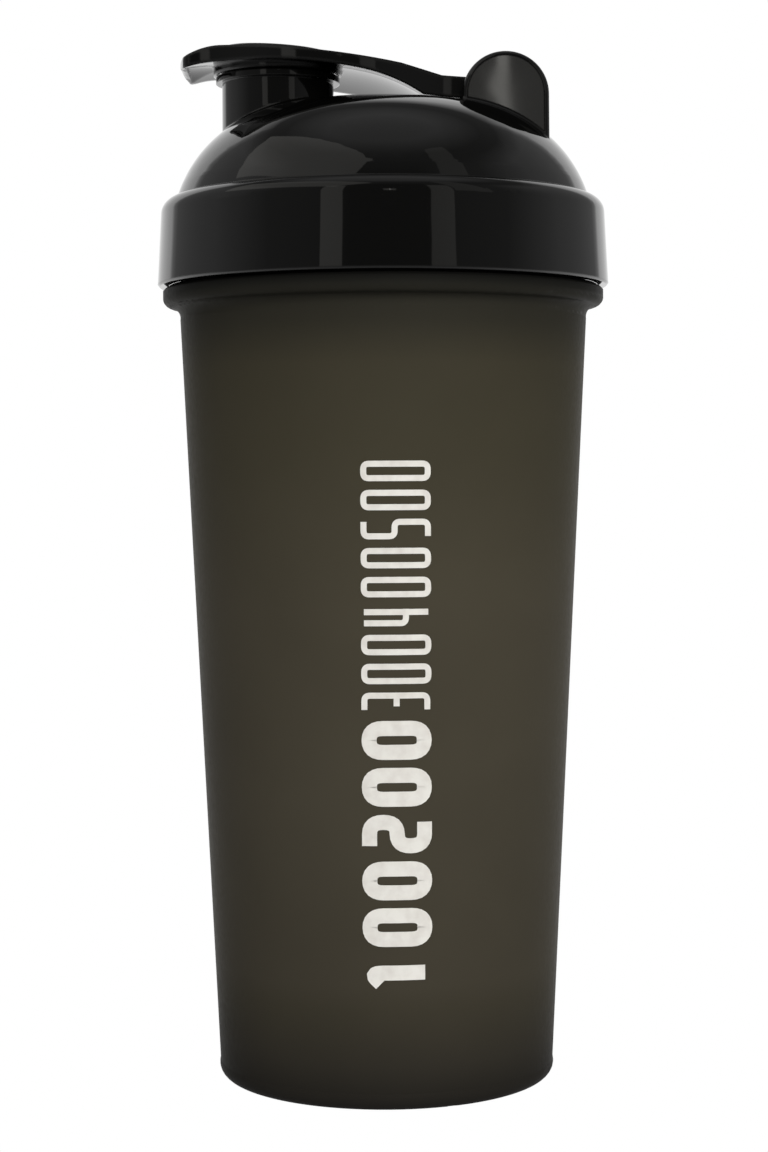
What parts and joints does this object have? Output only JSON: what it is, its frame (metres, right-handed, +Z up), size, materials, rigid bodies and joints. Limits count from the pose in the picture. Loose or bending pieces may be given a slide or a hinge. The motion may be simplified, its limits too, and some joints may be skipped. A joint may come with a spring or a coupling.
{
  "type": "protein shaker bottle",
  "caption": "Tapered smoked drinking shaker cup with a glossy black domed screw lid, an off-centre spout and a strap-shaped flip cap hinged between lugs.",
  "frame": {"origin": "centre of the foot ring, on the surface the bottle stands on", "axes": "+Z up along the cup's axis, -X towards the drinking spout, +X towards the flip cap's hinge"},
  "size_m": [0.096, 0.096, 0.2186],
  "materials": {
    "smoked_cup": "satin, smoked translucent",
    "black_gloss": "gloss",
    "dark_silicone": "matte",
    "grid_plastic": "satin",
    "print_white": "satin ink"
  },
  "bodies": {
    "cup": {"cup": "smoked_cup"},
    "gasket": {"lid_gasket": "dark_silicone"},
    "lid": {"screw_lid": "black_gloss", "mixing_grid": "grid_plastic"},
    "cap": {"flip_cap": "black_gloss", "spout_stopper": "dark_silicone"}
  },
  "joints": [
    {"name": "lid_lift", "type": "slide", "parent": "cup", "child": "gasket", "axis": [0, 0, 1], "range_m": [0, 0.00575]},
    {"name": "lid_turn", "type": "hinge", "parent": "gasket", "child": "lid", "pos_m": [0, 0, 0], "axis": [0, 0, 1], "range_deg": [0, 414]},
    {"name": "cap_flip", "type": "hinge", "parent": "lid", "child": "cap", "pos_m": [0.02575, 0, 0.208], "axis": [0, 1, 0], "range_deg": [0, 195]}
  ],
  "couplings": [
    {"joint": "lid_lift", "follows": "lid_turn", "m_per_rad": 0.00079577}
  ]
}
